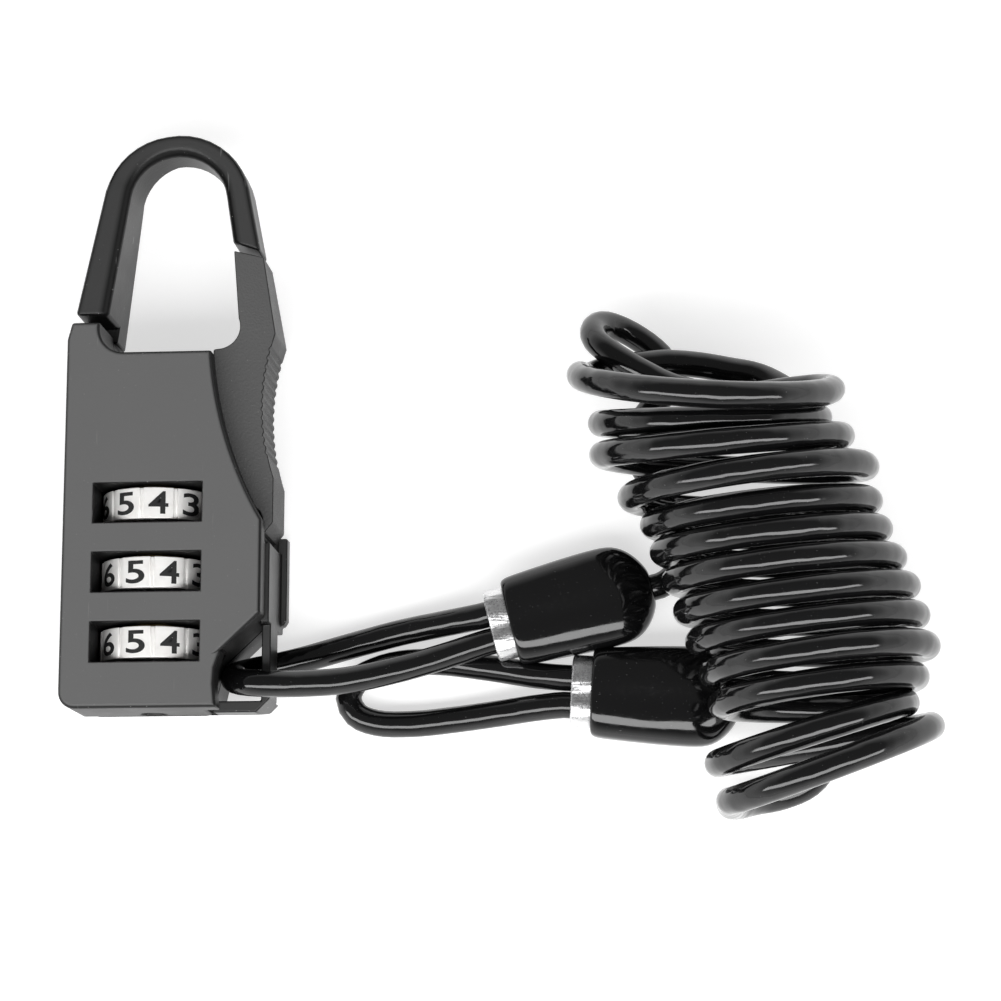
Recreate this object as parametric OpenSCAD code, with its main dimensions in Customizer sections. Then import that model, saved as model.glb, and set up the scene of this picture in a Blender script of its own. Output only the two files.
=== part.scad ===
// Three-dial cable lock: a die-cast case with an open hook and a sprung gate, and a coiled
// steel cable with a crimped eye at each end. The lock lies on its back, hook towards +Y.

/* [Case] */
// Left side of the case to the outside of its right wall
case_w = 26.8; // [26.2:0.1:32]
// Bottom of the case to the top of the cover beside the hook's foot
case_h = 51.3; // [50.8:0.1:60]
// Back face to front face
case_t = 16; // [15.9:0.1:19]
// Height of the joint between the back casting and the cover
split_z = 7; // [6:0.1:7.4]
// Thickness of the case's top and side walls
wall = 1.3; // [0.9:0.1:1.5]
// Width of the flange along the lower right edge of the back
flange_w = 0.8; // [0.6:0.1:2]
// Radius of the case's bottom left corner
corner_r = 2.2; // [0.6:0.1:2.6]
// Draft of the back casting's bottom edge, in degrees
draft = 8; // [0:1:10]

/* [Hook] */
// Height of the hook's crown above the top of the cover
hook_h = 26.7; // [24:0.1:32]
// Radius of the hook's centre line round the crown
hook_r = 8.1; // [8:0.1:8.6]
// Width of the hook at its foot
hook_foot_w = 4.3; // [3.6:0.1:4.6]
// Width of the hook at its crown
hook_crown_w = 2.8; // [2.4:0.1:3.2]
// Width of the hook at its tip
hook_tip_w = 3.6; // [3:0.1:4]
// Gap between the front of the hook's foot and the cover
foot_gap = 1.2; // [0.6:0.1:1.6]

/* [Dials] */
// Outer diameter of a dial
dial_d = 14.6; // [13.4:0.1:14.7]
// Width of a dial along the spindle
dial_w = 4.1; // [3.4:0.1:4.3]
// Distance between dials
dial_pitch = 9.15; // [8.8:0.05:9.6]
// How far a dial's crest lies below the front face
dial_recess = 0.35; // [0.25:0.05:0.5]
// Width of a window across the case
window_w = 14.3; // [12:0.1:14.6]
// Height of a window along the case
window_h = 5.2; // [4.8:0.1:5.6]
// Diameter of the spindle
spindle_d = 3.3; // [2.6:0.1:3.6]

/* [Gate] */
// Thickness of the gate lever
gate_t = 9.6; // [8:0.1:9.8]
// Angle that the gate opens to, in degrees
gate_open = 20; // [14:1:20]
// Diameter of the gate's pivot pin
pin_d = 2.4; // [1.8:0.1:2.6]

/* [Cable] */
// Outer diameter of the coated cable
cable_d = 3.5; // [3:0.1:3.5]
// Outer diameter of the coil's turns
coil_d = 31.2; // [30:0.1:32]
// Width of a boot beside its ferrule
boot_w = 11.6; // [10.6:0.1:12]
// Height of a boot
boot_h = 7.4; // [6.8:0.1:7.8]

/* [Hidden] */
$fn = 64;
eps = 0.05;          // how far a cut runs past the face that it cuts
slip = 0.07;         // radial clearance of a running fit
seat = 0.02;         // clearance round a fixed pin or screw
big = 60;            // longer than any part of the lock
layer = 0.3;         // clearance round a dial or cam in its bay

// Places, from the driving sizes
x_left = -14;
x_right = x_left + case_w;
y_low = -39;
y_top = y_low + case_h;
crown_y = y_top + hook_h;
deck_y = y_top - 4.1;            // top edge of the cover, right of the hook
deck_l = x_left + 7.6;           // where that edge leaves the fillet beside the foot
deck_r = 5.3;                    // where the gate leaves the cover
foot_r = x_left + 4.3;           // right side of the raised corner below the foot
cap_x = x_right - 0.5;           // right side of the cover
wall_x = x_right - 1.2;          // inside of the right wall and of the eyelet bar
wall_y = -16.9;                  // top of the right wall
cap_z = 12;                      // top of the right wall
sweep_r = 53.4;                  // hollow curve of the case's right edge
sweep_c = [deck_r + 53.22, 12.2];

// The eyelet for the cable at the lower right corner
eye_top = -27;                   // where the right wall narrows to the bar
bar_z = [4.3, 10.1];
web_y = y_low + 1.5;
eye_x = 5.75;                    // left side of the eyelet

// Dials and what runs in them
dial_r = dial_d / 2;
dial_x = -2.75;
dial_z = case_t - dial_recess - dial_r;
dial_y = [for (i = [0 : 2]) -12.05 - i * dial_pitch];
dial_turn = [11, 24, 26];        // where each dial has stopped, in degrees from the window
spindle_r = spindle_d / 2;
sleeve_r = 3;
cam_r = 4.2;
cam_w = 2;
cam_gap = 0.1;                   // between a dial and its cam
cam_y = dial_w / 2 + cam_gap;    // start of a cam above its dial's middle
clip_y = -6.1;                   // where the clip seats on its rib
clip_t = 0.6;
clip_r = 2.6;
spring_len = 4.4;
reset_travel = 1.5;

// Locking bar
bar_travel = 1;
bar_l = dial_x + dial_r + bar_travel + 0.2;
bar_w = 1.1;
bar_t = 3.1;
finger_w = 1.4;
finger_t = 2.2;
finger_x = dial_x + cam_r + bar_travel + 0.3;
finger_y = [for (y = dial_y) y + cam_y + cam_w / 2];

// Gate
pivot = [9.8, -14.2];
boss_r = 2.6;
gate_z = case_t / 2 - gate_t / 2;
bay_t = gate_t + 0.6;            // the case's slot for the gate
grip_r = 31.4;
grip_y = 1.25;
grip_x = 11.75;
grip_pitch = 1.15;               // between grip grooves

// Screws, from the back
screw_at = [[-9.6, 2.3], [9.3, -22.4], [-11.7, -36.3], [2.5, -36.3]];
screw_r = 0.8;
head_r = 1.55;
head_t = 1.1;

function unit(v) = v / norm(v);
function mix(a, b, t) = a + (b - a) * t;
function arc(c, r, a0, a1, n = 8) =
    [for (i = [0 : n]) c + r * [cos(mix(a0, a1, i / n)), sin(mix(a0, a1, i / n))]];
// Straight runs between the values in list v, at x from 0 to 1 through the places in list k
function along(x, k, v) = lookup(x, [for (i = [0 : len(k) - 1]) [k[i], v[i]]]);

// One closed skin through rings that all have the same number of points
module skin(rings) {
    m = len(rings[0]);
    n = len(rings);
    polyhedron(
        points = [for (r = rings) each r],
        faces = concat(
            [[for (j = [0 : m - 1]) j]],
            [for (i = [0 : n - 2], j = [0 : m - 1], k = [0, 1])
                let (a = i * m + j, b = i * m + (j + 1) % m)
                k == 0 ? [a, a + m, b + m] : [a, b + m, b]],
            [[for (j = [m - 1 : -1 : 0]) (n - 1) * m + j]]),
        convexity = 8);
}

// Carries a ring's direction along the path without twist
function carry(t, n, i = 0) = i == len(t) ? [] :
    let (m = unit(n - t[i] * (n * t[i]))) concat([m], carry(t, m, i + 1));
module tube(path, r = cable_d / 2, sides = 8) {
    last = len(path) - 1;
    t = [for (i = [0 : last]) unit(path[min(i + 1, last)] - path[max(i - 1, 0)])];
    n = carry(t, abs(t[0].z) < 0.7 ? [0, 0, 1] : [0, 1, 0]);
    skin([for (i = [0 : last]) [for (j = [0 : sides - 1])
        path[i] + r * (cos(360 * j / sides) * n[i] + sin(360 * j / sides) * cross(t[i], n[i]))]]);
}

// A cylinder along +Y from y0 to y1, on the dials' axis unless told otherwise
module along_y(r, y0, y1, x = dial_x, z = dial_z) {
    translate([x, y1, z]) rotate([90, 0, 0]) cylinder(r = r, h = y1 - y0);
}
module block(a, b) {
    translate(a) cube(b - a);
}

// Outline shared by both shells, with the gate's hollow edge and the cut-off eyelet corner
module case_outline() {
    difference() {
        polygon(concat(
            [[x_left + 0.6, y_top], [foot_r, y_top], [foot_r, deck_y + 3.3],
             [deck_l, deck_y + 3.3], [deck_l, deck_y], [deck_r + 7, deck_y]],
            [[cap_x, -13], [cap_x, eye_top + 0.2], [cap_x - 6, eye_top - 5.5],
             [cap_x - 7, eye_top - 9.8], [cap_x - 7.6, y_low]],
            arc([x_left + corner_r, y_low + corner_r], corner_r, 270, 180),
            [[x_left, y_top - 2.3]]));
        translate([deck_l, deck_y + 3.3]) circle(r = 3.3);
        translate(sweep_c) circle(r = sweep_r, $fn = 180);
    }
}

module gate_bay_outline() {
    polygon([[6.8, -17.2], [5.85, -14], [5.85, -9.2], [2.3, -4.2], [1, -1.6], [-0.7, 1], [-5.8, 5],
             [-5.8, y_top + 2], [20, y_top + 2], [20, wall_y], [wall_x + 0.6, wall_y], [11.4, -17.2]]);
}

// Everything that is hollow inside the closed case
module bays() {
    for (y = dial_y) {
        along_y(dial_r + layer, y - dial_w / 2 - layer, y + dial_w / 2 + layer, $fn = 96);
        along_y(cam_r + layer, y + dial_w / 2 - layer, y + cam_y + cam_w + layer);
    }
    along_y(spindle_r + slip, y_low - eps, clip_y + eps);
    along_y(clip_r + layer, clip_y, clip_y + clip_t + spring_len);
    along_y(spindle_r, clip_y, clip_y + clip_t + spring_len + 2);
    translate([0, 0, case_t / 2 - bay_t / 2]) linear_extrude(bay_t) gate_bay_outline();
    // slot for the locking bar and its fingers
    block([bar_l - bar_travel - 0.15, finger_y[2] - finger_w / 2 - 0.3, dial_z - bar_t / 2 - 0.15],
          [7.05, finger_y[0] + finger_w / 2 + 0.3, dial_z + bar_t / 2 + 0.15]);
    for (y = finger_y)
        block([finger_x - bar_travel - 0.3, y - finger_w / 2 - 0.2, dial_z - finger_t / 2 - 0.2],
              [bar_l + 0.5, y + finger_w / 2 + 0.2, dial_z + finger_t / 2 + 0.2]);
    // slot for the detent spring
    block([dial_x - dial_r - 2.5, dial_y[2] - 3.4, split_z], [dial_x - dial_r + 0.5, dial_y[0] + 3.4, split_z + 2.8]);
    // hollow beside the gate, round the upper screw's post
    difference() {
        block([x_left + wall, -5.6, wall], [-6.9, y_top - 4.6, case_t - wall]);
        translate([screw_at[0].x, screw_at[0].y, 0]) cylinder(r = 2.2, h = case_t);
    }
}

module pin_hole() {
    translate([pivot.x, pivot.y, 1.2]) cylinder(r = pin_d / 2 + seat, h = case_t - 2.4);
}

// The hook's centre line goes up the left leg, round the crown and down to the tip
hook_c = [-0.3, crown_y - hook_crown_w / 2 - hook_r];
hook_lean = 9;
hook_path = concat(
    [for (i = [0 : 5]) mix([hook_c.x - 11, y_top - 0.4],
        hook_c + hook_r * [-cos(hook_lean), sin(hook_lean)], i / 6)],
    [for (i = [0 : 18]) hook_c + hook_r * [-cos(mix(hook_lean, 170, i / 18)), sin(mix(hook_lean, 170, i / 18))]],
    [for (i = [1 : 4]) hook_c + hook_r * [cos(10), sin(10)] + i * 2.4 * [sin(10), -cos(10)]]);
hook_k = [0, 0.25, 0.5, 0.8, 1];
function hook_ring(i) =
    let (last = len(hook_path) - 1, s = i / last,
         t = unit(hook_path[min(i + 1, last)] - hook_path[max(i - 1, 0)]),
         h = along(s, hook_k, [hook_foot_w, 3.3, hook_crown_w, 3.1, hook_tip_w]) / 2,
         top = along(s, hook_k, [case_t - 0.8, 13.2, 12.3, 12.2, 12.2]),
         low = along(s, hook_k, [1, 3.4, 5.3, 5.3, 5.3]),
         c = 0.95, rim = 0.45,
         edge = [[h, top - c], [h, low + c], [h - c, low], [c - h, low],
                 [-h, low + c], [-h, top - rim], [rim - h, top], [h - c, top]])
    [for (e = edge) [hook_path[i].x + e[0] * t.y, hook_path[i].y - e[0] * t.x, e[1]]];

module hook() {
    difference() {
        skin([for (i = [0 : len(hook_path) - 1]) hook_ring(i)]);
        block([-big, -big, split_z], [0, y_top + foot_gap, big]);
        // slanted end of the tip
        translate([7.3, crown_y - 15.2, 0]) rotate([0, 0, -18.4]) block([-4, -8, 0], [8, 0, big]);
    }
}

// Bottom of the eyelet, from x0 to the bar
module eyelet_web(x0, z0, z1) {
    translate([0, 0, z0]) linear_extrude(z1 - z0)
        polygon([[x0, y_low], [x_right - 1.8, y_low], [x_right, y_low + 1.8],
                 [wall_x, web_y + 0.3], [wall_x, web_y], [x0, web_y]]);
}

// Back casting with the hook, the right wall, the eyelet bar and the flange
module rear_shell() {
    color([0.12, 0.12, 0.13])
    difference() {
        union() {
            linear_extrude(split_z) case_outline();
            hook();
            block([wall_x, eye_top - 0.5, 0], [x_right, wall_y, cap_z]);
            block([cap_x - 1.2, eye_top + 0.6, 0], [x_right, wall_y, split_z]);
            block([wall_x, y_low + 1.8, bar_z[0]], [x_right, eye_top, bar_z[1]]);
            eyelet_web(cap_x - 8, bar_z[0] - 2, split_z);
            eyelet_web(cap_x - 6.9, bar_z[0], bar_z[1]);
            linear_extrude(2.3)
                polygon([[wall_x, -14.7], [x_right + flange_w, -14.7], [x_right + flange_w, eye_top + 1.2],
                         [x_right + flange_w / 2, eye_top + 0.5], [wall_x, eye_top + 0.4]]);
        }
        bays();
        pin_hole();
        // draft on the bottom edge, so that it draws in towards the back
        translate([0, y_low, split_z]) rotate([draft, 0, 0]) block([-big, -big, -big], [big, 0, 0]);
        for (p = screw_at) translate([p.x, p.y, -eps]) {
            cylinder(r = screw_r + seat, h = split_z + 1);
            cylinder(r = head_r + 0.1, h = head_t + 0.15 + eps);
        }
    }
}

// Cover with the three dial windows
module front_shell() {
    color([0.2, 0.2, 0.21])
    difference() {
        union() {
            translate([0, 0, cap_z]) linear_extrude(case_t - cap_z) case_outline();
            translate([0, 0, split_z]) linear_extrude(cap_z - split_z) intersection() {
                case_outline();
                translate([-big, -big]) square([big + wall_x - 0.05, 2 * big]);
            }
            // lip over the eyelet
            translate([0, 0, cap_z + 0.5]) linear_extrude(case_t - cap_z - 0.5)
                polygon([[cap_x - 8, y_low], [cap_x - 5.6, y_low], [cap_x - 5.9, eye_top - 9],
                         [cap_x - 5.8, eye_top - 6.9], [cap_x - 5, eye_top - 4.6], [cap_x - 8, eye_top - 4.6]]);
        }
        bays();
        pin_hole();
        for (y = dial_y)
            block([dial_x - window_w / 2, y - window_h / 2, dial_z + 1.5],
                  [dial_x + window_w / 2, y + window_h / 2, case_t + 1]);
        for (p = screw_at)
            translate([p.x, p.y, split_z - 1]) cylinder(r = screw_r + seat, h = case_t - split_z - 1.6);
    }
}

module case_screws() {
    color("dimgray") for (p = screw_at) translate([p.x, p.y, 0.15]) difference() {
        union() {
            cylinder(r = head_r, h = head_t);
            cylinder(r = screw_r, h = case_t - 3.2);
        }
        for (a = [0, 90]) rotate([0, 0, a]) block([-1, -0.2, -1], [1, 0.2, 0.5]);
    }
}

// Gate lever: head, thumb side with grip grooves, and the boss and nose beside the pivot
module gate_blank() {
    linear_extrude(gate_t)
        polygon([[7.45, 22.6], [11.5, 21.6], [13.3, 11], [13.3, -14.4], [12.2, -15.8],
                 [pivot.x, pivot.y - 1], [8.3, -7], [6.8, -2], [5.6, 3], [5, 7.5], [5, 9],
                 [5.5, 9.1], [5.5, 12.1], [8.4, 12.1]]);
    linear_extrude(gate_t)
        polygon([[7.3, -11.3], [7.5, -10.4], [9.8, -9], [pivot.x + 0.5, pivot.y], [7.6, -13]]);
    translate([pivot.x, pivot.y, 0]) cylinder(r = boss_r, h = gate_t);
    translate([7.65, -10.85, 0]) cylinder(r = 0.6, h = gate_t, $fn = 32);
}
module gate_lever() {
    color([0.16, 0.16, 0.17])
    difference() {
        translate([0, 0, gate_z]) gate_blank();
        translate([5.5, 12.1, 0]) cylinder(r = 3, h = case_t);
        translate([grip_x + grip_r, grip_y, 0]) cylinder(r = grip_r, h = case_t, $fn = 120);
        translate([pivot.x, pivot.y, 0]) cylinder(r = pin_d / 2 + slip, h = case_t);
        translate([pivot.x, pivot.y, gate_z + gate_t - 2.2]) cylinder(r = 2.1, h = 3);
        block([pivot.x - 1.95, pivot.y, gate_z + gate_t - 0.8], [pivot.x - 0.35, pivot.y + 3.1, case_t]);
        // the head thins towards its end, to match the hook's tip
        translate([0, 14, gate_z + gate_t]) rotate([-3, 0, 0]) block([0, 0, 0], [20, 12, 4]);
        translate([0, 12, gate_z]) rotate([11, 0, 0]) block([0, 0, -4], [20, 14, 0]);
        for (i = [-6 : 6])
            let (y = grip_y + 0.7 + i * grip_pitch)
            translate([grip_x + grip_r - sqrt(grip_r * grip_r - pow(y - grip_y, 2)) + 0.2, y, 0])
                cylinder(r = 0.38, h = case_t, $fn = 20);
    }
}
module gate_pin() {
    color("silver") translate([pivot.x, pivot.y, 1.3]) cylinder(r = pin_d / 2, h = case_t - 2.6);
}
// Torsion spring round the pin: three turns and a leg in the gate's slot
module gate_spring() {
    wire = 0.22;
    top = gate_z + gate_t - 0.35;
    color("gainsboro") translate([pivot.x, pivot.y, 0]) tube(concat(
        [[-1.6, 2.4, top], [-1.6, 1.2, top]],
        [for (i = [0 : 32]) [-1.6 * cos(i * 36), -1.6 * sin(i * 36), top - i * 0.042]]), wire, 6);
}

// A dial is a ring with ten places and a groove between each two
module dial(i) {
    y = dial_y[i];
    color("lightgray") difference() {
        along_y(dial_r, y - dial_w / 2, y + dial_w / 2, $fn = 120);
        along_y(sleeve_r + 0.05, y - dial_w, y + dial_w);
        for (k = [0 : 9]) translate([dial_x, y, dial_z]) rotate([0, dial_turn[i] + k * 36 + 18, 0])
            block([-0.25, -dial_w, dial_r - 0.25], [0.25, dial_w, dial_r + 1]);
    }
}
// A code sleeve turns inside its dial and carries the notched cam that the bar reads
module code_sleeve(i) {
    y = dial_y[i];
    color("peru") difference() {
        union() {
            along_y(sleeve_r, y - dial_w / 2, y + cam_y + cam_w);
            along_y(cam_r, y + cam_y, y + cam_y + cam_w);
        }
        along_y(spindle_r + slip, y - dial_w, y + big);
        block([dial_x + sleeve_r + 0.1, y, dial_z - finger_t / 2 - 0.2],
              [dial_x + cam_r + 1, y + dial_w + cam_w, dial_z + finger_t / 2 + 0.2]);
    }
}
module spindle() {
    color("silver") difference() {
        union() {
            along_y(spindle_r, y_low + 0.6, clip_y + eps);
            along_y(1.1, clip_y, clip_y + clip_t + spring_len - 0.4);
        }
        along_y(0.5, y_low, y_low + 1.4);
    }
}
module spindle_clip() {
    color("dimgray") difference() {
        along_y(clip_r, clip_y + eps, clip_y + eps + clip_t);
        along_y(1.1 + seat, clip_y, clip_y + 3 * clip_t);
        block([dial_x - 0.8, clip_y, dial_z], [dial_x + 0.8, clip_y + 3 * clip_t, dial_z + clip_r + 1]);
    }
}
module spindle_spring() {
    wire = 0.25;
    start = clip_y + clip_t + 0.1 + wire;
    end = clip_y + clip_t + spring_len - 0.05 - wire;
    color("gainsboro") tube([for (i = [0 : 60])
        [dial_x + 1.75 * cos(i * 30), mix(start, end, i / 60), dial_z + 1.75 * sin(i * 30)]], wire, 6);
}
module locking_bar() {
    color("darkgoldenrod") {
        block([bar_l, finger_y[2] - finger_w / 2, dial_z - bar_t / 2],
              [bar_l + bar_w, finger_y[0] + finger_w / 2, dial_z + bar_t / 2]);
        for (y = finger_y)
            block([finger_x, y - finger_w / 2, dial_z - finger_t / 2],
                  [bar_l + bar_w / 2, y + finger_w / 2, dial_z + finger_t / 2]);
    }
}
// Leaf spring with one humped finger for each dial
module detent_spring() {
    x = dial_x - dial_r;
    t = 0.3;
    color("gainsboro") translate([0, 0, split_z + 0.15]) linear_extrude(2.3) union() {
        translate([x - 2.3, dial_y[2] - 3.2]) square([t, dial_y[0] - dial_y[2] + 6.4]);
        for (y = dial_y)
            polygon([[x - 2.1, y - 2.4], [x - 0.3, y - 0.4], [x - 0.3, y + 0.4], [x - 2.1, y + 2.4],
                     [x - 2.1, y + 1.8], [x - 0.6, y + 0.2], [x - 0.6, y - 0.2], [x - 2.1, y - 1.8]]);
    }
}

// Eyes: a double ferrule crimped over two strands, its rear half inside a moulded boot.
// Each eye's frame has +X along the cable, towards the coil.
ferrule_l = 8;
ferrule_out = 2.7;               // bare length in front of the boot
strand = cable_d / 2 + 0.05;     // half the distance between the two strands
lock_eye = [41.2, -27.5, 4.8];
lock_turn = 14;
free_eye = [51.8, -36, 3.9];
free_turn = -3;
boot_l = 19;
module stadium(w, h) {
    for (s = [-1, 1]) translate([s * (w - h) / 2, 0]) circle(r = h / 2);
    translate([(h - w) / 2, -h / 2]) square([w - h, h]);
}
module ferrule(place, turn) {
    color("gainsboro") translate(place) rotate([0, 0, turn]) rotate([90, 0, 90]) difference() {
        linear_extrude(ferrule_l) stadium(4 * strand + 2.4, cable_d + 2.4);
        for (s = [-1, 1]) translate([s * strand, 0, -1]) cylinder(r = cable_d / 2 + seat, h = big);
    }
}
module boot_slice(x, w, h, dz) {
    translate([x, 0, dz]) rotate([90, 0, 90]) linear_extrude(0.2) stadium(w, h, $fn = 32);
}
module boot(place, turn) {
    color([0.07, 0.07, 0.08]) translate(place) rotate([0, 0, turn]) difference() {
        union() {
            hull() {
                boot_slice(ferrule_out, boot_w, boot_h, 0);
                boot_slice(ferrule_out + boot_l - 6, boot_w + 1.4, boot_h, 0);
            }
            hull() {
                boot_slice(ferrule_out + boot_l - 6, boot_w + 1.4, boot_h, 0);
                boot_slice(ferrule_out + boot_l - 2.6, boot_w - 1, 5.6, (5.6 - boot_h) / 2);
                boot_slice(ferrule_out + boot_l, 5.2, 4, (4 - boot_h) / 2);
            }
        }
        rotate([90, 0, 90]) linear_extrude(ferrule_l) stadium(4 * strand + 2.45, cable_d + 2.45);
    }
}
// Where a strand enters its ferrule, side -1 or 1 across the eye
function strand_at(place, turn, side, x = 0) =
    place + x * [cos(turn), sin(turn), 0] + side * strand * [-sin(turn), cos(turn), 0];
function boot_end(place, turn, past = 0) =
    place + (ferrule_out + boot_l + 0.2 + past) * [cos(turn), sin(turn), 0] + [0, 0, (4 - boot_h) / 2];

// Cable routes: points every two or three diameters, closer round the tight bends
rest_z = cable_d / 2 + 0.1;
loop_lock_path = concat(
    [strand_at(lock_eye, lock_turn, -1, ferrule_l)],
    [for (x = [0, -1]) strand_at(lock_eye, lock_turn, -1, x)],
    [[35, -31.4, 5.6], [29, -33.3, 7.2], [22.5, -34.9, 9.3], [17, -35.5, 11.2], [13.2, -35.6, 12.2],
     [10.4, -35.4, 11.8], [8.4, -34.9, 10], [7.6, -34.2, 7.8], [7.9, -33.4, 5.4], [9.4, -32.6, 3],
     [12, -31.9, rest_z], [16, -31, rest_z], [22, -29.4, 2], [29, -27.7, 2.6], [35, -26.7, 3.6]],
    [for (x = [-1, 0, ferrule_l]) strand_at(lock_eye, lock_turn, 1, x)]);
loop_free_path = concat(
    [strand_at(free_eye, free_turn, 1, ferrule_l)],
    [for (x = [0, -1]) strand_at(free_eye, free_turn, 1, x)],
    [[47, -33.6, 2.6], [41, -32.5, rest_z], [34, -31.6, rest_z], [29, -31.7, rest_z], [25.5, -32.6, rest_z],
     [23, -34, rest_z], [22, -36.3, rest_z], [23.1, -38.5, rest_z], [25.8, -39.6, rest_z],
     [30.5, -39.8, rest_z], [36, -39.3, rest_z], [42, -38.6, 2.4], [47, -38, 3.2]],
    [for (x = [-1, 0, ferrule_l]) strand_at(free_eye, free_turn, -1, x)]);
lead_path = concat(
    [for (x = [0, 1]) boot_end(lock_eye, lock_turn, x)],
    [[65.2, -20.6, 2.3], [66.2, -17.6, rest_z], [65.4, -13, rest_z], [62.6, -8, rest_z], [60.2, -3.2, rest_z],
     [60.7, -0.3, rest_z], [62.4, 2.2, rest_z], [64.2, 4.4, rest_z], [64.9, 6.6, rest_z], [64.3, 8.7, 1.9],
     [62.9, 10.3, 2.1], [61, 11.7, 2.6],
     [58.9, 12.8, 3.4], [56.7, 13.2, 5.2], [55.6, 12.7, 6.8], [55.1, 11.4, 8.6], [55.6, 9.6, 10.6],
     [57.4, 7.7, 12], [59.4, 6.2, 12.4], [62.8, 4.2, 12.3], [64.9, 3.2, 12]]);
tail_path = concat([for (x = [0, 1]) boot_end(free_eye, free_turn, x)],
    [[77, -37.3, 1.9], [80.4, -38, rest_z]]);

// Coil: the outer shape of its turns, lying on the surface, wider at the top end
coil_r = coil_d / 2;
module coil_disc(x, y, r, lean, turn) {
    translate([x, y, r + 0.1]) rotate([0, 0, turn]) rotate([90 - lean, 0, 0])
        cylinder(r = r, h = 0.4, center = true, $fn = 32);
}

rear_shell();
front_shell();
case_screws();
gate_lever();
gate_pin();
gate_spring();
dial(0);  // dial_1
dial(1);  // dial_2
dial(2);  // dial_3
code_sleeve(0);  // code_sleeve_1
code_sleeve(1);  // code_sleeve_2
code_sleeve(2);  // code_sleeve_3
spindle();
spindle_clip();
spindle_spring();
locking_bar();
detent_spring();
ferrule(lock_eye, lock_turn);  // ferrule_lock
boot(lock_eye, lock_turn);  // boot_lock
ferrule(free_eye, free_turn);  // ferrule_free
boot(free_eye, free_turn);  // boot_free
color([0.1, 0.1, 0.11]) tube(loop_lock_path);  // cable_loop_lock
color([0.1, 0.1, 0.11]) tube(lead_path);  // cable_lead
color([0.1, 0.1, 0.11]) hull() {  // cable_coil
    coil_disc(70, 3, coil_r + 2.2, 12, -4);
    coil_disc(78, -18, coil_r, 5, 5);
    coil_disc(84, -37, coil_r, 3, 7);
    coil_disc(85, -47.2, coil_r - 0.8, 3, 20);
}
color([0.1, 0.1, 0.11]) tube(tail_path);  // cable_tail
color([0.1, 0.1, 0.11]) tube(loop_free_path);  // cable_loop_free
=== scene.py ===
import math

import bmesh
import bpy
from mathutils import Matrix, Vector
from mathutils.bvhtree import BVHTree


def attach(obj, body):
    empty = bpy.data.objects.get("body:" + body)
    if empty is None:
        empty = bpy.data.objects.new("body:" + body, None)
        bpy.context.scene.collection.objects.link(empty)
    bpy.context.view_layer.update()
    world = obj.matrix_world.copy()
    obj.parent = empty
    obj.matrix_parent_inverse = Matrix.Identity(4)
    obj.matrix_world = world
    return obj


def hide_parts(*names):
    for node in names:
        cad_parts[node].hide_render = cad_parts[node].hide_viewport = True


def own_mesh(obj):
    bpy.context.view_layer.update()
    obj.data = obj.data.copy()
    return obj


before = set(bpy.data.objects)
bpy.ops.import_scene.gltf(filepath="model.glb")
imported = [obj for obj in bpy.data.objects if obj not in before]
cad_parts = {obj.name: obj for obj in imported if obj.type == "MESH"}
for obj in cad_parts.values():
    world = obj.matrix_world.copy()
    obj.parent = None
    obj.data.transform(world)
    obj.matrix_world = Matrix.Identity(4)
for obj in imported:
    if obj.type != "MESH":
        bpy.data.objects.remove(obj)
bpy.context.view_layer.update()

MM = 0.001

# Camera: a long lens over the lock's cover, tipped a little towards its lower right, so that
# the side of the gate and the right wall just show.
aim = Vector((42.75, -11.1, 8)) * MM
toward = Vector((math.tan(math.radians(5)), -math.tan(math.radians(11)), 1)).normalized()
camera = bpy.data.objects.new("camera", bpy.data.cameras.new("camera"))
bpy.context.scene.collection.objects.link(camera)
bpy.context.scene.camera = camera
camera.data.lens = 109.3
camera.data.sensor_width = 36
camera.data.clip_start = 0.01
camera.data.clip_end = 20
across = Vector((0, 1, 0)).cross(toward).normalized()
camera.matrix_world = Matrix.Translation(aim + toward * 0.4) @ Matrix(
    (across, toward.cross(across), toward)).transposed().to_4x4()

# Floor: a sheet of white card under the lock, which is all that the light box holds.
floor_mesh = bpy.data.meshes.new("floor")
under = -0.1 * MM
floor_mesh.from_pydata([(-3, -3, under), (3, -3, under), (3, 3, under), (-3, 3, under)], [], [(0, 1, 2, 3)])
floor = bpy.data.objects.new("floor", floor_mesh)
bpy.context.scene.collection.objects.link(floor)
card = bpy.data.materials.new("white card")
card.use_nodes = True
for label, value in (("Base Color", (0.6, 0.6, 0.6, 1)), ("Roughness", 0.9),
                     ("Emission Color", (1, 1, 1, 1)), ("Emission Strength", 0.62)):
    card.node_tree.nodes["Principled BSDF"].inputs[label].default_value = value
floor_mesh.materials.append(card)

# Light: a long soft box on the side of the dials' lower end, and walls that are white low down
# and dark overhead, so that black vinyl stays dark between its highlights.
bpy.context.scene.view_settings.view_transform = "Standard"
room = bpy.data.worlds.new("tent")
bpy.context.scene.world = room
room.use_nodes = True
air = room.node_tree.nodes
wires = room.node_tree.links
direction = air.new("ShaderNodeTexCoord")
split = air.new("ShaderNodeSeparateXYZ")
fade = air.new("ShaderNodeValToRGB")
fade.color_ramp.elements[0].position = 0.12
fade.color_ramp.elements[0].color = (1, 1, 1, 1)
fade.color_ramp.elements[1].position = 0.6
fade.color_ramp.elements[1].color = (0.15, 0.15, 0.15, 1)
wires.new(direction.outputs["Generated"], split.inputs[0])
wires.new(split.outputs["Z"], fade.inputs[0])
wires.new(fade.outputs[0], air["Background"].inputs["Color"])
air["Background"].inputs["Strength"].default_value = 1.2


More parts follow.
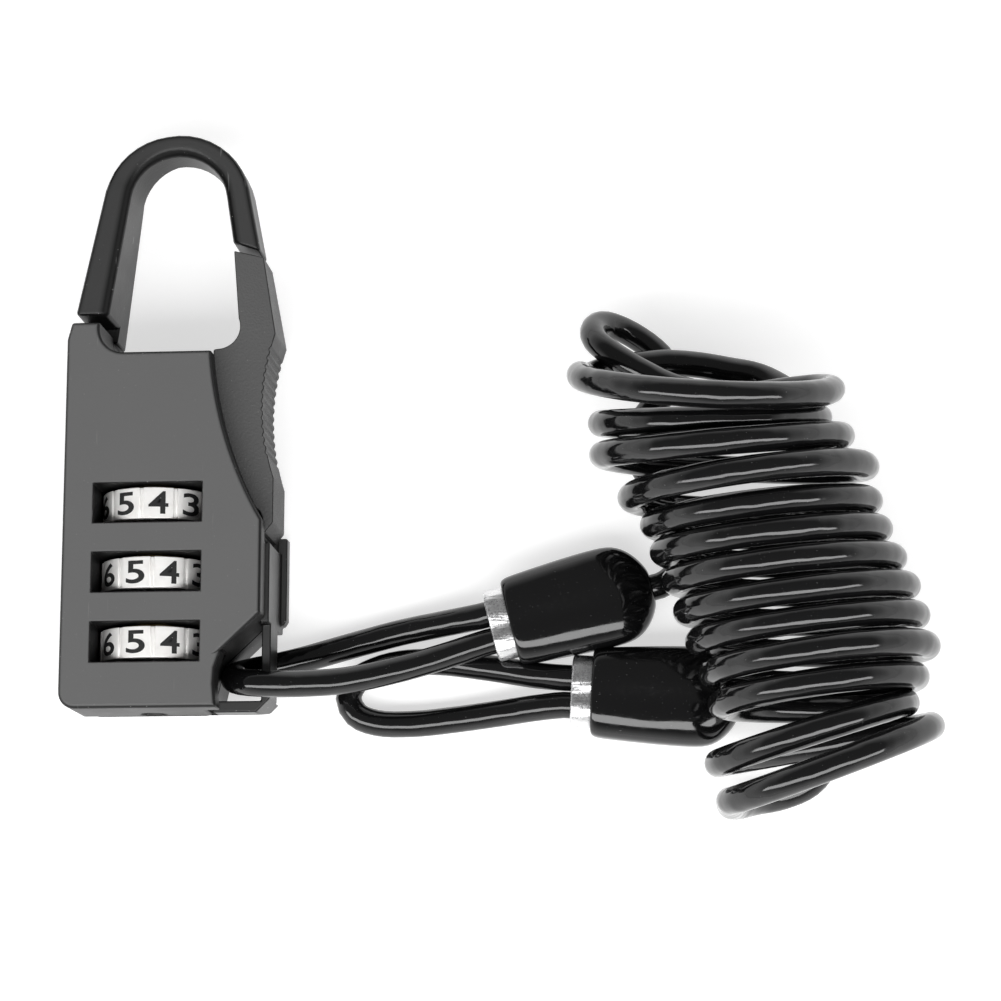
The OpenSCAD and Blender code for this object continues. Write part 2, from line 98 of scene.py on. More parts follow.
def soft_box(name, place, size, watts):
    """A rectangular lamp that faces the lock, with its long side along X."""
    lamp = bpy.data.lights.new(name, "AREA")
    lamp.shape = "RECTANGLE"
    lamp.size, lamp.size_y = size
    lamp.energy = watts
    box = bpy.data.objects.new(name, lamp)
    bpy.context.scene.collection.objects.link(box)
    box.location = aim + Vector(place)
    box.rotation_euler = Vector(place).to_track_quat("Z", "Y").to_euler()


soft_box("long_box", (0.02, -0.37, 0.53), (2.0, 0.24), 9.5)


# Cable: one length of 3.5 mm steel strand in glossy black vinyl. It makes an eye through the
# lock's bar, runs from the first boot up to the coil, goes thirteen times round, and comes back
# under the last turns to the second boot and the free eye.
cable_r = 1.75
strand = cable_r + 0.05
rest = 1.85
lock_eye, lock_turn = Vector((41.2, -27.5, 4.8)), math.radians(14)
free_eye, free_turn = Vector((51.8, -36, 3.9)), math.radians(-3)


def beside(eye, turn, side, x, dz=0.0):
    """A point at x along an eye's own axis, side -1, 0 or 1 across it."""
    return eye + Vector((x * math.cos(turn) - side * strand * math.sin(turn),
                         x * math.sin(turn) + side * strand * math.cos(turn), dz))


# Each turn: middle in x and y, radius, rise from left to right, height of its middle, lean
turns = [
    (70.0, 2.2, 16.1, -2.5, 17.5, 18.5), (70.5, -2.5, 14.0, 0.3, 15.5, 12), (72.0, -6.1, 15.3, 2, 16.8, 10),
    (75.3, -11.0, 15.0, 3.6, 16.7, 5), (76.9, -14.8, 13.8, 2.7, 15.5, 5), (78.1, -18.4, 13.8, 2.6, 15.5, 5),
    (79.7, -22.2, 13.9, 2.6, 15.6, 4), (81.2, -26.0, 14.0, 2.9, 15.7, 4), (82.5, -29.8, 13.8, 3, 15.6, 3.5),
    (83.9, -34.0, 13.5, 3.2, 16.8, 2), (83.7, -38.0, 12.2, 3.3, 17.4, 2), (82.8, -43.3, 11.8, 7.4, 17.3, 5),
    (85.0, -47.2, 12.6, 9.2, 18.1, 7),
]


def half_turn(start, end, radius, lean, up):
    """Half a turn from start to end, over the top or underneath."""
    steps = 14
    lift = Vector((0, -math.sin(math.radians(lean)), math.cos(math.radians(lean)))) * radius * up
    return [start.lerp(end, (1 - math.cos(math.pi * i / steps)) / 2) + lift * math.sin(math.pi * i / steps)
            for i in range(1, steps + 1)]


def end_of(turn, side):
    x, y, radius, rise, z, _ = turn
    return Vector((x + side * radius, y + side * rise / 2, z))


lock_loop = [(35, -31.4, 5.6), (29, -33.3, 7.2), (22.5, -34.9, 9.3), (17, -35.5, 11.2),
             (13.2, -35.6, 12.2), (10.4, -35.4, 11.8), (8.4, -34.9, 10), (7.6, -34.2, 7.8),
             (7.9, -33.4, 5.4), (9.4, -32.6, 3), (12, -31.9, rest), (16, -31, rest),
             (22, -29.4, 2), (29, -27.7, 2.6), (35, -26.7, 3.6)]
lead = [(65.2, -20.6, 2.3), (66.2, -17.6, rest), (65.4, -13, rest), (62.6, -8, rest), (60.2, -3.2, rest),
        (60.7, -0.3, rest), (62.4, 2.2, rest), (64.2, 4.4, rest), (64.9, 6.6, rest), (64.3, 8.7, 1.9),
        (62.9, 10.3, 2.1), (61, 11.7, 2.6),
        (58.9, 12.8, 3.4), (56.7, 13.2, 5.2), (55.6, 12.7, 6.8), (55.1, 11.4, 8.6), (55.6, 9.6, 10.6),
        (57.4, 7.7, 12), (59.4, 6.2, 12.4), (62.8, 4.2, 12.3), (64.9, 3.2, 12), (69.5, 1.9, 11.6),
        (75, 1.6, 11.4), (80.5, 2, 12.2), (84.6, 1.9, 14.2)]
first_under = [(54.4, 4.6, 11.5), (57, 6.3, 8.2), (61, 7.1, 7), (65, 7.6, 5.8), (69.2, 7.3, 5.2),
               (72.5, 6.8, 4.6), (77, 5.8, 4.4), (81.2, 2.7, 7), (83.8, -1.2, 11.2)]
tail = [(72.5, -51.9, 12.6), (73.4, -51.5, 8), (75.8, -50.6, 4), (79, -49.8, 2), (82.6, -48.2, rest),
        (84.6, -45.6, rest), (84.6, -42.6, rest), (83, -40, rest), (80.4, -38, rest), (77, -37.3, 1.9)]
free_loop = [(47, -33.6, 2.6), (41, -32.5, rest), (34, -31.6, rest), (29, -31.7, rest),
             (25.5, -32.6, rest), (23, -34, rest), (22, -36.3, rest), (23.1, -38.5, rest),
             (25.8, -39.6, rest), (30.5, -39.8, rest), (36, -39.3, rest), (42, -38.6, 2.4), (47, -38, 3.2)]

route = [beside(lock_eye, lock_turn, -1, x) for x in (3, 0, -1)] + lock_loop
route += [beside(lock_eye, lock_turn, 1, x) for x in (-1, 0, 8)]
route += [beside(lock_eye, lock_turn, 0, x, dz) for x, dz in ((16, -0.9), (21.9, -1.7), (22.9, -1.7))]
route += lead + [end_of(turns[0], 1)]
for this, after in zip(turns, turns[1:] + [None]):
    route += half_turn(end_of(this, 1), end_of(this, -1), this[2], this[5], 1)
    if this is turns[0]:
        route += first_under + [end_of(after, 1)]
    elif after:
        route += half_turn(end_of(this, -1), end_of(after, 1), (this[2] + after[2]) / 2,
                           (this[5] + after[5]) / 2, -1)
route += tail
route += [beside(free_eye, free_turn, 0, x, dz) for x, dz in ((22.9, -1.7), (21.9, -1.7), (16, -0.9))]
route += [beside(free_eye, free_turn, 1, x) for x in (8, 0, -1)] + free_loop
route += [beside(free_eye, free_turn, -1, x) for x in (-1, 0, 8)]
route = [Vector(p) * MM for p in route]


def flowing(points, step):
    """A smooth curve through the points, without overshoot at uneven spacing."""
    ends = [2 * points[0] - points[1]] + points + [2 * points[-1] - points[-2]]
    line = []
    for a, b, c, d in zip(ends, ends[1:], ends[2:], ends[3:]):
        ta, tb = 0.0, (b - a).length ** 0.5
        tc = tb + (c - b).length ** 0.5
        td = tc + (d - c).length ** 0.5
        for i in range(max(1, round((c - b).length / step))):
            t = tb + (tc - tb) * i / max(1, round((c - b).length / step))
            ab = a.lerp(b, (t - ta) / (tb - ta))
            bc = b.lerp(c, (t - tb) / (tc - tb))
            cd = c.lerp(d, (t - tc) / (td - tc))
            line.append(ab.lerp(bc, (t - ta) / (tc - ta)).lerp(bc.lerp(cd, (t - tb) / (td - tb)),
                                                               (t - tb) / (tc - tb)))
    return line + [points[-1]]


def shader_group(name, sockets_in, sockets_out):
    """An empty shader node group with its named sockets, and its input and output nodes."""
    group = bpy.data.node_groups.new(name, "ShaderNodeTree")
    for label, kind, value in sockets_in:
        socket = group.interface.new_socket(label, in_out="INPUT", socket_type=kind)
        if value is not None:
            socket.default_value = value
    for label, kind in sockets_out:
        group.interface.new_socket(label, in_out="OUTPUT", socket_type=kind)
    return group, group.nodes.new("NodeGroupInput"), group.nodes.new("NodeGroupOutput")


def noise(nodes, links, source, scale, detail=2.0, stretch=None):
    """Noise on object coordinates; scale is in cycles a metre, stretch squeezes it by axis."""
    mapping = nodes.new("ShaderNodeMapping")
    mapping.inputs["Scale"].default_value = stretch or (1, 1, 1)
    texture = nodes.new("ShaderNodeTexNoise")
    texture.inputs["Scale"].default_value = scale
    texture.inputs["Detail"].default_value = detail
    links.new(source, mapping.inputs[0])
    links.new(mapping.outputs[0], texture.inputs["Vector"])
    return texture


def ramp(nodes, links, source, low, high, dark, light):
    """Spreads a value between low and high over the range from dark to light."""
    spread = nodes.new("ShaderNodeMapRange")
    for label, value in (("From Min", low), ("From Max", high), ("To Min", dark), ("To Max", light)):
        spread.inputs[label].default_value = value
    links.new(source, spread.inputs["Value"])
    return spread.outputs["Result"]


# Moulding waves: the slow ripples and faint dust that show on glossy vinyl.
vinyl_group, taken, given = shader_group(
    "vinyl surface",
    [("Ripple scale", "NodeSocketFloat", 260.0), ("Ripple depth", "NodeSocketFloat", 0.1)],
    [("Roughness", "NodeSocketFloat"), ("Normal", "NodeSocketVector")])
nodes, links = vinyl_group.nodes, vinyl_group.links
place = nodes.new("ShaderNodeTexCoord").outputs["Object"]
waves = nodes.new("ShaderNodeTexNoise")
waves.inputs["Detail"].default_value = 1.5
links.new(place, waves.inputs["Vector"])
links.new(taken.outputs["Ripple scale"], waves.inputs["Scale"])
bump = nodes.new("ShaderNodeBump")
bump.inputs["Distance"].default_value = 0.0006
links.new(taken.outputs["Ripple depth"], bump.inputs["Strength"])
links.new(waves.outputs["Fac"], bump.inputs["Height"])
links.new(bump.outputs[0], given.inputs["Normal"])
haze = noise(nodes, links, place, 1400, 3)
links.new(ramp(nodes, links, haze.outputs["Fac"], 0.35, 0.75, 0.07, 0.16), given.inputs["Roughness"])


def vinyl(name, scale, depth, tint):
    material = bpy.data.materials.new(name)
    material.use_nodes = True
    nodes, links = material.node_tree.nodes, material.node_tree.links
    surface = nodes.new("ShaderNodeGroup")
    surface.node_tree = vinyl_group
    surface.inputs["Ripple scale"].default_value = scale
    surface.inputs["Ripple depth"].default_value = depth
    shader = nodes["Principled BSDF"]
    shader.inputs["IOR"].default_value = 1.53
    place = nodes.new("ShaderNodeTexCoord").outputs["Object"]
    specks = noise(nodes, links, place, 5200, 1)
    colour = nodes.new("ShaderNodeMix")
    colour.data_type = "RGBA"
    colour.inputs["A"].default_value = (tint, tint, tint * 1.06, 1)
    colour.inputs["B"].default_value = (0.12, 0.12, 0.12, 1)
    links.new(ramp(nodes, links, specks.outputs["Fac"], 0.76, 0.8, 0, 1), colour.inputs["Factor"])
    links.new(colour.outputs["Result"], shader.inputs["Base Color"])
    links.new(surface.outputs["Roughness"], shader.inputs["Roughness"])
    links.new(surface.outputs["Normal"], shader.inputs["Normal"])
    return material


def geometry_tree(name, sockets):
    """A geometry node tree with named inputs, and its group input and output nodes."""
    tree = bpy.data.node_groups.new(name, "GeometryNodeTree")
    tree.interface.new_socket("Geometry", in_out="INPUT", socket_type="NodeSocketGeometry")
    for label, kind, value in sockets:
        socket = tree.interface.new_socket(label, in_out="INPUT", socket_type=kind)
        if value is not None:
            socket.default_value = value
    tree.interface.new_socket("Geometry", in_out="OUTPUT", socket_type="NodeSocketGeometry")
    return tree, tree.nodes.new("NodeGroupInput"), tree.nodes.new("NodeGroupOutput")


def round_wire_tree():
    """Sweeps a round section along the curve it is given."""
    tree, taken, given = geometry_tree("round wire", [
        ("Radius", "NodeSocketFloat", 0.001), ("Sides", "NodeSocketInt", 16),
        ("Material", "NodeSocketMaterial", None)])
    section = tree.nodes.new("GeometryNodeCurvePrimitiveCircle")
    sweep = tree.nodes.new("GeometryNodeCurveToMesh")
    sweep.inputs["Fill Caps"].default_value = True
    smooth = tree.nodes.new("GeometryNodeSetShadeSmooth")
    realize = tree.nodes.new("GeometryNodeRealizeInstances")
    paint = tree.nodes.new("GeometryNodeSetMaterial")
    join = tree.links.new
    join(taken.outputs["Sides"], section.inputs["Resolution"])
    join(taken.outputs["Radius"], section.inputs["Radius"])
    join(taken.outputs["Geometry"], sweep.inputs["Curve"])
    join(section.outputs["Curve"], sweep.inputs["Profile Curve"])
    join(sweep.outputs["Mesh"], smooth.inputs[0])
    join(smooth.outputs[0], realize.inputs[0])
    join(realize.outputs[0], paint.inputs["Geometry"])
    join(taken.outputs["Material"], paint.inputs["Material"])
    join(paint.outputs[0], given.inputs["Geometry"])
    return tree


def grown(name, base, tree, settings):
    """Runs a geometry node tree on an object and keeps the result as a plain mesh object."""
    source = bpy.data.objects.new(name + " source", base)
    bpy.context.scene.collection.objects.link(source)
    modifier = source.modifiers.new("grow", "NODES")
    modifier.node_group = tree
    for item in tree.interface.items_tree:
        if item.item_type == "SOCKET" and item.in_out == "INPUT" and item.name in settings:
            modifier[item.identifier] = settings[item.name]
    evaluated = source.evaluated_get(bpy.context.evaluated_depsgraph_get())
    mesh = bpy.data.meshes.new_from_object(evaluated)
    source.modifiers.clear()
    bpy.data.objects.remove(source)
    piece = bpy.data.objects.new(name, mesh)
    bpy.context.scene.collection.objects.link(piece)
    return piece


def open_curve(name, points):
    """A three-dimensional curve straight from point to point."""
    curve = bpy.data.curves.new(name, "CURVE")
    curve.dimensions = "3D"
    spline = curve.splines.new("POLY")
    spline.points.add(len(points) - 1)
    for point, p in zip(spline.points, points):
        point.co = (*p, 1)
    return curve


round_wire = round_wire_tree()
cable_vinyl = vinyl("cable vinyl", 210.0, 0.5, 0.004)
cable_line = flowing(route, 0.0011)
cable = grown("cable", open_curve("cable line", cable_line), round_wire,
              {"Radius": cable_r * MM, "Sides": 24, "Material": cable_vinyl})
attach(cable, "case")
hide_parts("cable_loop_lock", "cable_lead", "cable_coil", "cable_tail", "cable_loop_free")


def plain_copy(node, name):
    """A CAD node's shape as one clean closed mesh, with its flat faces whole again."""
    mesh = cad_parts[node].data.copy()
    mesh.name = name
    mesh.materials.clear()
    shape = bmesh.new()
    shape.from_mesh(mesh)
    bmesh.ops.remove_doubles(shape, verts=shape.verts, dist=0.00003)
    bmesh.ops.dissolve_limit(shape, angle_limit=math.radians(0.6), verts=shape.verts, edges=shape.edges)
    shape.to_mesh(mesh)
    shape.free()
    piece = bpy.data.objects.new(name, mesh)
    bpy.context.scene.collection.objects.link(piece)
    return piece


def eased(piece, width, angle=30.0, segments=3, shoulder=None):
    """Rounds a piece's sharp edges, to its full width only where shoulder(middle) says so."""
    shape = bmesh.new()
    shape.from_mesh(piece.data)
    share = shape.edges.layers.float.new("bevel_weight_edge")
    for edge in shape.edges:
        if edge.calc_face_angle(0) > math.radians(angle):
            middle = (edge.verts[0].co + edge.verts[1].co) / 2 / MM
            edge[share] = 1 if shoulder is None or shoulder(middle) else 0.25 / width
    shape.to_mesh(piece.data)
    shape.free()
    bevel = piece.modifiers.new("edges", "BEVEL")
    bevel.width = width * MM
    bevel.segments = segments
    bevel.limit_method = "WEIGHT"
    bevel.use_clamp_overlap = False
    bevel.loop_slide = False
    even = piece.modifiers.new("shading", "WEIGHTED_NORMAL")
    even.weight = 100
    even.keep_sharp = True
    for face in piece.data.polygons:
        face.use_smooth = True
    evaluated = piece.evaluated_get(bpy.context.evaluated_depsgraph_get())
    mesh = bpy.data.meshes.new_from_object(evaluated)
    piece.modifiers.clear()
    skin = BVHTree.FromPolygons([v.co for v in piece.data.vertices],
                                [f.vertices[:] for f in piece.data.polygons])
    for v in mesh.vertices:
        near, _, _, off = skin.find_nearest(v.co)
        if off > 0.45 * width * MM:
            v.co = near
    piece.data = mesh
    return piece


def loft(name, rings, smooth=True):
    """A closed skin over rings of points, ended by a fan at each end."""
    shape = bmesh.new()
    rows = [[shape.verts.new(p) for p in ring] for ring in rings]
    for a, b in zip(rows, rows[1:]):
        for i in range(len(a)):
            j = (i + 1) % len(a)
            shape.faces.new((a[i], a[j], b[j], b[i]))
    for row in (rows[0], rows[-1]):
        middle = shape.verts.new(sum((v.co for v in row), Vector()) / len(row))
        for i in range(len(row)):
            shape.faces.new((row[i], row[(i + 1) % len(row)], middle))
    bmesh.ops.recalc_face_normals(shape, faces=shape.faces)
    for face in shape.faces:
        face.smooth = smooth
    mesh = bpy.data.meshes.new(name)
    shape.to_mesh(mesh)
    shape.free()
    piece = bpy.data.objects.new(name, mesh)
    bpy.context.scene.collection.objects.link(piece)
    return piece


# Boots: soft vinyl sleeves slipped over each ferrule. The moulding follows the two strands, so
# a shallow valley runs along it, and its far end tapers to the single cable.
boot_vinyl = vinyl("boot vinyl", 160.0, 0.3, 0.004)


def two_lobes(width, height, valley, power, count=48):
    """Half-round ends with a shallow valley between them, as y and z offsets."""
    points = []
    for i in range(count):
        a = 2 * math.pi * i / count
        c, s = math.cos(a), math.sin(a)
        y = width / 2 * math.copysign(abs(c) ** power, c)
        z = height / 2 * math.copysign(abs(s) ** 0.72, s)
        z *= 1 - valley * math.exp(-((y + width * 0.07) / (width * 0.1)) ** 2)
        points.append((y, z))
    return points


def in_eye(eye, turn, x, y, z):
    return (eye + Vector((x * math.cos(turn) - y * math.sin(turn),
                          x * math.sin(turn) + y * math.cos(turn), z))) * MM


# Each station: place along the boot, width, height, valley depth, drop of the middle
boot_stations = [
    (2.9, 9.4, 5.6, 0, 0), (2.62, 10.2, 6.4, 0, 0), (2.72, 11.1, 7.1, 0.02, 0), (3.2, 11.7, 7.45, 0.05, 0),
    (4.2, 12, 7.5, 0.1, 0), (7, 12.4, 7.5, 0.15, 0), (10, 12.8, 7.5, 0.16, 0), (13, 13.1, 7.45, 0.15, 0),
    (15.8, 13.2, 7.4, 0.12, -0.05), (17.4, 13, 7.1, 0.08, -0.15), (18.6, 12.3, 6.6, 0.04, -0.4),
    (19.7, 10.9, 5.9, 0, -0.75), (20.7, 8.8, 5.2, 0, -1.1), (21.4, 6.6, 4.5, 0, -1.4),
    (21.8, 4.8, 4.1, 0, -1.6), (21.9, 3.8, 3.7, 0, -1.7),
]


def boot(name, eye, turn, node):
    rings = [[in_eye(eye, turn, x, y, z + drop) for y, z in two_lobes(width, height, valley, 0.85)]
             for x, width, height, valley, drop in boot_stations]
    piece = loft(name, rings)
    finer = piece.modifiers.new("rounding", "SUBSURF")
    finer.levels = finer.render_levels = 1
    piece.data.materials.append(boot_vinyl)
    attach(piece, "case")
    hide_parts(node)
    return piece


boots = [boot("lock_boot", lock_eye, lock_turn, "boot_lock"),
         boot("free_boot", free_eye, free_turn, "boot_free")]

# Ferrules: short lengths of bright aluminium tube, pressed over both strands by a crimping tool
# that leaves a valley between them and flat bites round the rim.
bright = bpy.data.materials.new("crimped aluminium")
bright.use_nodes = True
nodes, links = bright.node_tree.nodes, bright.node_tree.links
shader = nodes["Principled BSDF"]
shader.inputs["Metallic"].default_value = 1.0
place = nodes.new("ShaderNodeTexCoord").outputs["Object"]
drag = noise(nodes, links, place, 900, 4, (0.3, 1.6, 1.6))
pits = noise(nodes, links, place, 3500, 2)
shade = nodes.new("ShaderNodeMix")
shade.data_type = "RGBA"
shade.inputs["A"].default_value = (0.62, 0.62, 0.63, 1)
shade.inputs["B"].default_value = (0.92, 0.92, 0.92, 1)
links.new(drag.outputs["Fac"], shade.inputs["Factor"])
links.new(shade.outputs["Result"], shader.inputs["Base Color"])
links.new(ramp(nodes, links, pits.outputs["Fac"], 0.3, 0.7, 0.22, 0.42), shader.inputs["Roughness"])
dents = nodes.new("ShaderNodeBump")
dents.inputs["Distance"].default_value = 0.0002
dents.inputs["Strength"].default_value = 0.5
links.new(drag.outputs["Fac"], dents.inputs["Height"])
links.new(dents.outputs[0], shader.inputs["Normal"])


def ferrule(name, eye, turn, node):
    rings = []
    stations = ((0.35, 0.8), (0.06, 0.86), (0, 0.91), (0.1, 0.97), (0.35, 1),
                (1.4, 1), (3.2, 1), (3.5, 0.97), (3.6, 0.9))
    for x, grow in stations:
        outline = two_lobes(9.5 * grow, 5.9 * grow, 0.16, 0.9)
        rings.append([in_eye(eye, turn, x, y + 0.07 * math.sin(i * 1.3), z + 0.05 * math.sin(i * 2.1 + x))
                      for i, (y, z) in enumerate(outline)])
    piece = loft(name, rings)
    piece.data.materials.append(bright)
    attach(piece, "case")
    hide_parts(node)
    return piece


ferrules = [ferrule("lock_ferrule", lock_eye, lock_turn, "ferrule_lock"),
            ferrule("free_ferrule", free_eye, free_turn, "ferrule_free")]


# Painted castings: satin black paint on die-cast zinc. The paint has a fine orange peel, dust specks and
# hairline scratches. Its base is painted lighter grey on faces that point up, as a painted reflection of the
# overhead light, and darker on edges and walls, as painted shade.
paint_group, taken, given = shader_group(
    "satin paint",
    [("Grain scale", "NodeSocketFloat", 2600.0), ("Grain depth", "NodeSocketFloat", 0.2),
     ("Shade", "NodeSocketFloat", 0.02), ("Gloss", "NodeSocketFloat", 0.42)],
    [("Color", "NodeSocketColor"), ("Roughness", "NodeSocketFloat"), ("Normal", "NodeSocketVector")])
nodes, links = paint_group.nodes, paint_group.links
place = nodes.new("ShaderNodeTexCoord").outputs["Object"]
grain = nodes.new("ShaderNodeTexNoise")
grain.inputs["Detail"].default_value = 3
links.new(place, grain.inputs["Vector"])
links.new(taken.outputs["Grain scale"], grain.inputs["Scale"])
bump = nodes.new("ShaderNodeBump")
bump.inputs["Distance"].default_value = 0.0001
links.new(taken.outputs["Grain depth"], bump.inputs["Strength"])
links.new(grain.outputs["Fac"], bump.inputs["Height"])
links.new(bump.outputs[0], given.inputs["Normal"])
hairs = noise(nodes, links, place, 700, 1, (5, 0.25, 1))
specks = noise(nodes, links, place, 3800, 0)
marks = nodes.new("ShaderNodeMath")
marks.operation = "MAXIMUM"
links.new(ramp(nodes, links, hairs.outputs["Fac"], 0.76, 0.79, 0, 0.5), marks.inputs[0])
links.new(ramp(nodes, links, specks.outputs["Fac"], 0.83, 0.86, 0, 1), marks.inputs[1])
# Painted reflection and shade: the paint's shade is multiplied by a ramp on the normal's Z, from 0.08 on
# edges and walls to 1 on faces that point up.
facing = nodes.new("ShaderNodeSeparateXYZ")
links.new(nodes.new("ShaderNodeNewGeometry").outputs["Normal"], facing.inputs[0])
painted_reflection_and_shade = nodes.new("ShaderNodeMath")
painted_reflection_and_shade.operation = "MULTIPLY"
links.new(taken.outputs["Shade"], painted_reflection_and_shade.inputs[0])
links.new(ramp(nodes, links, facing.outputs["Z"], 0.8, 0.995, 0.08, 1), painted_reflection_and_shade.inputs[1])
base = nodes.new("ShaderNodeCombineColor")
for channel in ("Red", "Green", "Blue"):
    links.new(painted_reflection_and_shade.outputs[0], base.inputs[channel])
worn = nodes.new("ShaderNodeMix")
worn.data_type = "RGBA"
worn.inputs["B"].default_value = (0.17, 0.17, 0.17, 1)
links.new(marks.outputs[0], worn.inputs["Factor"])
links.new(base.outputs[0], worn.inputs["A"])
links.new(worn.outputs["Result"], given.inputs["Color"])
cloud = noise(nodes, links, place, 120, 3)
uneven = nodes.new("ShaderNodeMath")
uneven.operation = "MULTIPLY"
links.new(taken.outputs["Gloss"], uneven.inputs[0])
links.new(ramp(nodes, links, cloud.outputs["Fac"], 0.3, 0.7, 0.88, 1.12), uneven.inputs[1])
links.new(uneven.outputs[0], given.inputs["Roughness"])


def paint(name, scale, depth, shade, gloss):
    material = bpy.data.materials.new(name)
    material.use_nodes = True
    nodes, links = material.node_tree.nodes, material.node_tree.links
    surface = nodes.new("ShaderNodeGroup")
    surface.node_tree = paint_group
    for label, value in (("Grain scale", scale), ("Grain depth", depth), ("Shade", shade), ("Gloss", gloss)):
        surface.inputs[label].default_value = value
    shader = nodes["Principled BSDF"]
    links.new(surface.outputs["Color"], shader.inputs["Base Color"])
    links.new(surface.outputs["Roughness"], shader.inputs["Roughness"])
    links.new(surface.outputs["Normal"], shader.inputs["Normal"])
    shader.inputs["Specular IOR Level"].default_value = 0.22
    return material


# Back casting: hook, walls and eyelet bar in one piece of zinc, with its edges just broken.
rear = plain_copy("rear_shell", "back_casting")
eased(rear, 0.5, segments=4, shoulder=lambda p: p.y > 9 and p.z > 8)
rear.data.materials.append(paint("back casting paint", 2300, 0.2, 0.048, 0.34))
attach(rear, "case")
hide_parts("rear_shell")

# Cover: the front half of the case, with three windows cut through a flat face.
cover = plain_copy("front_shell", "cover")
eased(cover, 0.6, segments=4,
      shoulder=lambda p: p.z > 15.9 and not (-11.5 < p.x < 5.2 and -36 < p.y < -8.5))
cover.data.materials.append(paint("cover paint", 2600, 0.15, 0.118, 0.42))
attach(cover, "case")
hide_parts("front_shell")

# Gate lever: a sprung arm with a grained face and fine grip grooves across its thumb side.
gate = plain_copy("gate_lever", "gate_arm")
eased(gate, 0.2)
gate.data.materials.append(paint("gate paint", 3300, 1.0, 0.095, 0.42))
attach(gate, "gate")
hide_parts("gate_lever")

# Dials: plated rings with ten black figures each, filled with paint, and a groove between
# every two figures.
plate = bpy.data.materials.new("satin plating")
plate.use_nodes = True
nodes, links = plate.node_tree.nodes, plate.node_tree.links
shader = nodes["Principled BSDF"]
shader.inputs["Metallic"].default_value = 0.4
place = nodes.new("ShaderNodeTexCoord").outputs["Object"]
turned = noise(nodes, links, place, 1500, 3, (0.4, 5, 0.4))
smudge = noise(nodes, links, place, 500, 3)
shade = nodes.new("ShaderNodeMix")
shade.data_type = "RGBA"
shade.inputs["A"].default_value = (0.9, 0.88, 0.86, 1)
shade.inputs["B"].default_value = (1, 0.99, 0.97, 1)
links.new(ramp(nodes, links, smudge.outputs["Fac"], 0.3, 0.6, 0, 1), shade.inputs["Factor"])
links.new(shade.outputs["Result"], shader.inputs["Base Color"])
links.new(ramp(nodes, links, turned.outputs["Fac"], 0.3, 0.7, 0.4, 0.55), shader.inputs["Roughness"])
lines = nodes.new("ShaderNodeBump")
lines.inputs["Distance"].default_value = 0.00005
lines.inputs["Strength"].default_value = 0.4
links.new(turned.outputs["Fac"], lines.inputs["Height"])
links.new(lines.outputs[0], shader.inputs["Normal"])

ink = bpy.data.materials.new("figure paint")
ink.use_nodes = True
nodes, links = ink.node_tree.nodes, ink.node_tree.links
place = nodes.new("ShaderNodeTexCoord").outputs["Object"]
patchy = noise(nodes, links, place, 2500, 2)
links.new(ramp(nodes, links, patchy.outputs["Fac"], 0.3, 0.7, 0.4, 0.6),
          nodes["Principled BSDF"].inputs["Roughness"])
nodes["Principled BSDF"].inputs["Base Color"].default_value = (0.012, 0.012, 0.012, 1)

dial_x, dial_z, dial_r = -2.75, 8.35, 7.3


def figure_mesh(figure, turn, y):
    """One figure, as wide as its place allows, bent round the dial and just proud of it."""
    text = bpy.data.curves.new("figure", "FONT")
    text.body = str(figure)
    text.align_x = "CENTER"
    text.align_y = "CENTER"
    text.extrude = 0.5
    text.offset = 0.014
    holder = bpy.data.objects.new("figure", text)
    bpy.context.scene.collection.objects.link(holder)
    mesh = bpy.data.meshes.new_from_object(holder.evaluated_get(bpy.context.evaluated_depsgraph_get()))
    bpy.data.objects.remove(holder)
    low = [min(v.co[i] for v in mesh.vertices) for i in (0, 1)]
    high = [max(v.co[i] for v in mesh.vertices) for i in (0, 1)]
    width = 1.1 if figure == 1 else 2.6
    for v in mesh.vertices:
        v.co.x = ((v.co.x - low[0]) / (high[0] - low[0]) - 0.5) * width
        v.co.y = ((v.co.y - low[1]) / (high[1] - low[1]) - 0.5) * 3.0
    shape = bmesh.new()
    shape.from_mesh(mesh)
    bpy.data.meshes.remove(mesh)
    for cut in range(-5, 6):
        bmesh.ops.bisect_plane(shape, geom=shape.verts[:] + shape.edges[:] + shape.faces[:],
                               plane_co=(cut * 0.24, 0, 0), plane_no=(1, 0, 0))
    for v in shape.verts:
        r = dial_r + (0.03 if v.co.z > 0 else -0.08)
        a = math.radians(turn) + v.co.x / dial_r
        v.co = Vector((dial_x + r * math.sin(a), y + v.co.y, dial_z + r * math.cos(a))) * MM
    return shape


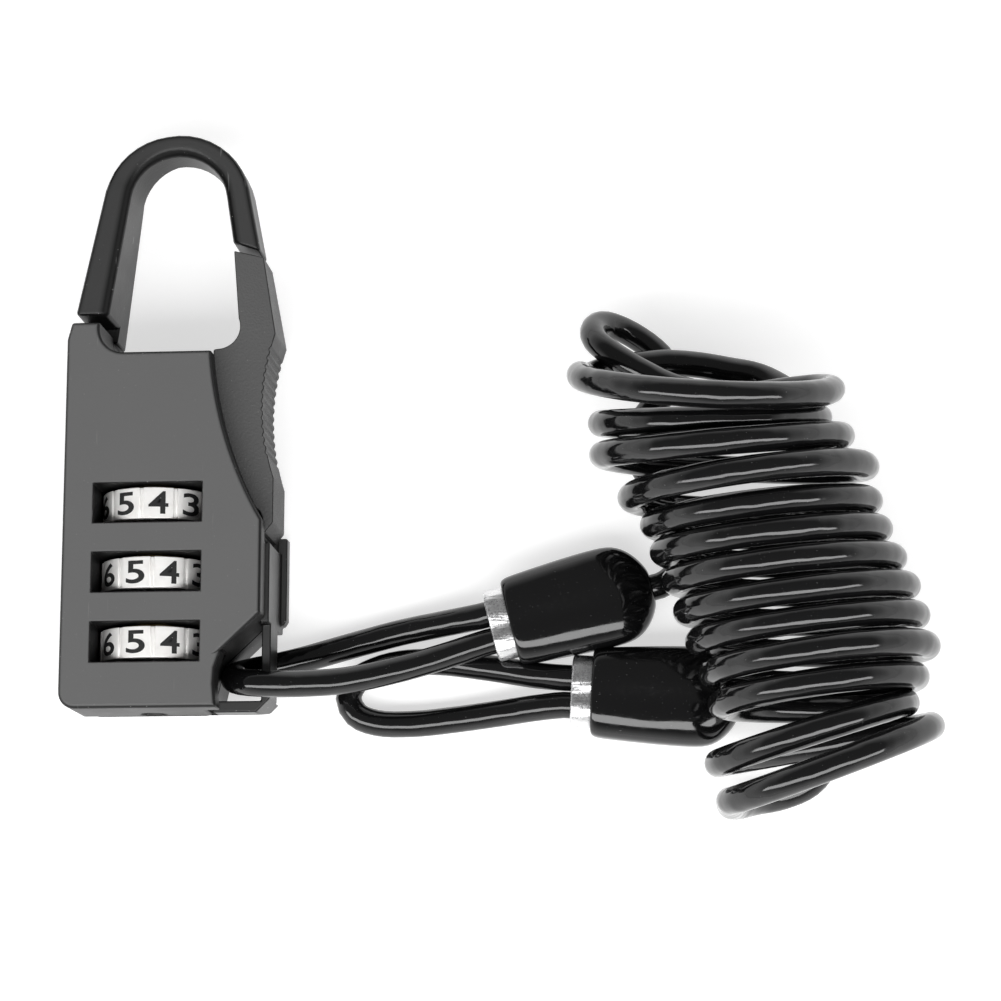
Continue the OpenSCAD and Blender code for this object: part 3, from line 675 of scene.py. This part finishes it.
for number, (turn, y) in enumerate(((11, -12.05), (24, -21.2), (26, -30.35)), 1):
    body = ("dial_top", "dial_middle", "dial_bottom")[number - 1]
    ring = plain_copy(f"dial_{number}", f"dial_ring_{number}")
    eased(ring, 0.12, segments=2)
    ring.data.materials.append(plate)
    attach(ring, body)
    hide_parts(f"dial_{number}")
    figures = bmesh.new()
    mesh = bpy.data.meshes.new(f"dial_figures_{number}")
    for figure in range(10):
        bent = figure_mesh(figure, turn - 36 * (figure - 4), y)
        bent.to_mesh(mesh)
        bent.free()
        figures.from_mesh(mesh)
    figures.to_mesh(mesh)
    figures.free()
    mesh.materials.append(ink)
    marks = bpy.data.objects.new(f"dial_figures_{number}", mesh)
    bpy.context.scene.collection.objects.link(marks)
    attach(marks, body)


# Steel and brass parts inside the case: they keep their plain machined shapes.
def metal(name, dark, light, rough):
    material = bpy.data.materials.new(name)
    material.use_nodes = True
    nodes, links = material.node_tree.nodes, material.node_tree.links
    shader = nodes["Principled BSDF"]
    shader.inputs["Metallic"].default_value = 1.0
    place = nodes.new("ShaderNodeTexCoord").outputs["Object"]
    stain = noise(nodes, links, place, 700, 4)
    shade = nodes.new("ShaderNodeMix")
    shade.data_type = "RGBA"
    shade.inputs["A"].default_value = (*dark, 1)
    shade.inputs["B"].default_value = (*light, 1)
    links.new(stain.outputs["Fac"], shade.inputs["Factor"])
    links.new(shade.outputs["Result"], shader.inputs["Base Color"])
    links.new(ramp(nodes, links, stain.outputs["Fac"], 0.3, 0.7, rough, rough + 0.15),
              shader.inputs["Roughness"])
    return material


steel = metal("zinc plated steel", (0.42, 0.42, 0.43), (0.7, 0.7, 0.7), 0.25)
brass = metal("brass", (0.45, 0.3, 0.12), (0.75, 0.56, 0.27), 0.28)
for node in ("case_screws", "gate_pin", "gate_spring", "spindle", "spindle_clip", "detent_spring"):
    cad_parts[node].data.materials.clear()
    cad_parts[node].data.materials.append(steel)
for node in ("code_sleeve_1", "code_sleeve_2", "code_sleeve_3", "locking_bar"):
    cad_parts[node].data.materials.clear()
    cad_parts[node].data.materials.append(brass)

# Spindle spring: a few turns of plated steel wire between the clip and the case. It is held with the case at
# one length and does not shorten here as the spindle is pushed in.
spring = plain_copy("spindle_spring", "spindle_coil_spring")
spring.data.materials.append(steel)
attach(spring, "case")
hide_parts("spindle_spring")
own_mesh(spring)
